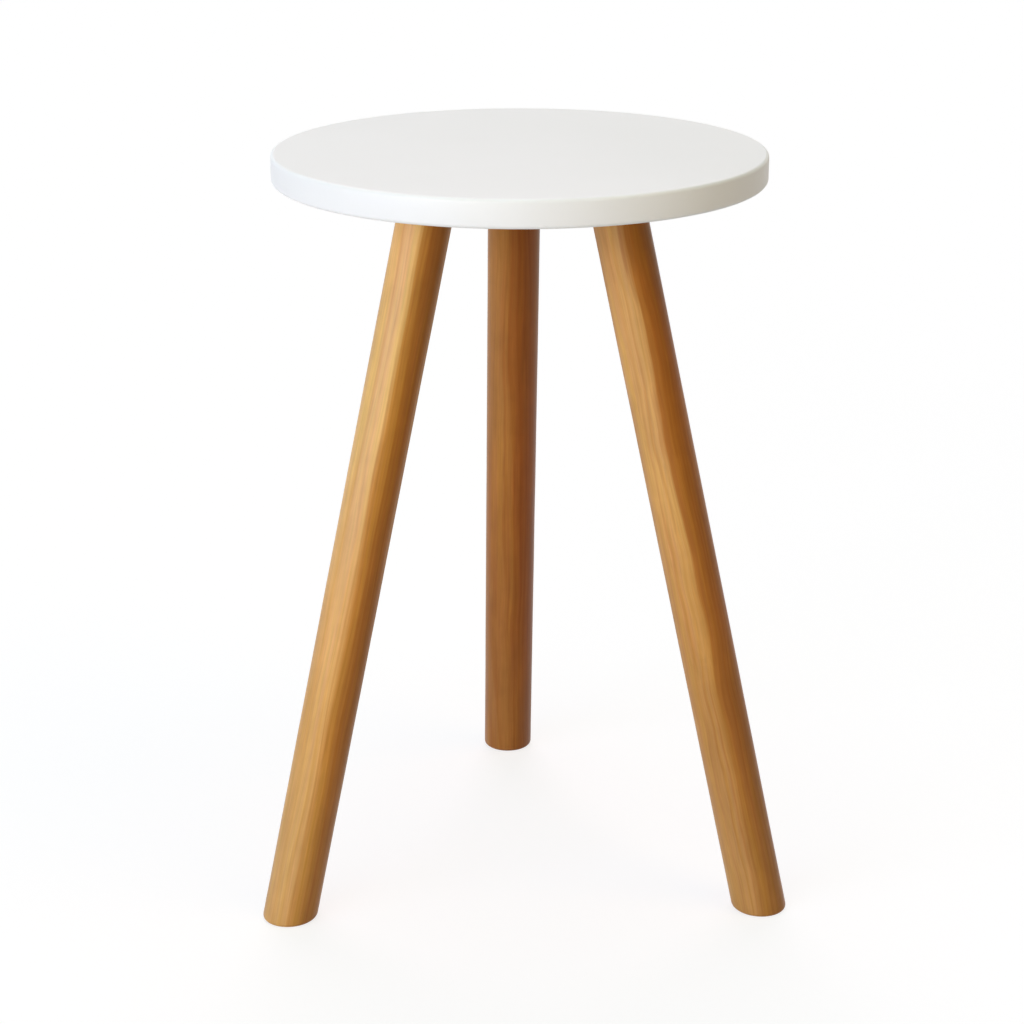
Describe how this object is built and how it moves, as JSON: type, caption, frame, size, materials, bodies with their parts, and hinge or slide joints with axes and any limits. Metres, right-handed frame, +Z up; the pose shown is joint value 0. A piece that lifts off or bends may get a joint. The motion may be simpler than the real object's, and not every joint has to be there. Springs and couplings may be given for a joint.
{
  "type": "round side table",
  "caption": "Small side table with a round white lacquered top on splayed round wooden legs, each screwed into a slanted steel plate under the top.",
  "frame": {"origin": "on the floor, under the middle of the table's box. The round top's own axis stands 20.4 mm towards -Y from it, because one leg points straight back", "axes": "+Z up. One leg points along +Y and two point forwards to the left and right of -Y, 120 degrees apart"},
  "size_m": [0.3526, 0.3608, 0.5],
  "materials": {
    "top_lacquer": "satin white lacquer on fibreboard",
    "stained_pine": "honey stain under satin varnish",
    "plate_steel": "zinc plated",
    "nut_steel": "zinc plated",
    "bolt_steel": "yellow zinc plated",
    "screw_steel": "zinc plated"
  },
  "bodies": {
    "root": {"top_panel": "top_lacquer", "leg_rear": "stained_pine", "leg_front_left": "stained_pine", "leg_front_right": "stained_pine", "leg_plate_rear": "plate_steel", "leg_plate_front_left": "plate_steel", "leg_plate_front_right": "plate_steel", "weld_nut_rear": "nut_steel", "weld_nut_front_left": "nut_steel", "weld_nut_front_right": "nut_steel", "hanger_bolt_rear": "bolt_steel", "hanger_bolt_front_left": "bolt_steel", "hanger_bolt_front_right": "bolt_steel", "plate_screw_rear_1": "screw_steel", "plate_screw_rear_2": "screw_steel", "plate_screw_rear_3": "screw_steel", "plate_screw_rear_4": "screw_steel", "plate_screw_front_left_1": "screw_steel", "plate_screw_front_left_2": "screw_steel", "plate_screw_front_left_3": "screw_steel", "plate_screw_front_left_4": "screw_steel", "plate_screw_front_right_1": "screw_steel", "plate_screw_front_right_2": "screw_steel", "plate_screw_front_right_3": "screw_steel", "plate_screw_front_right_4": "screw_steel"}
  },
  "joints": []
}
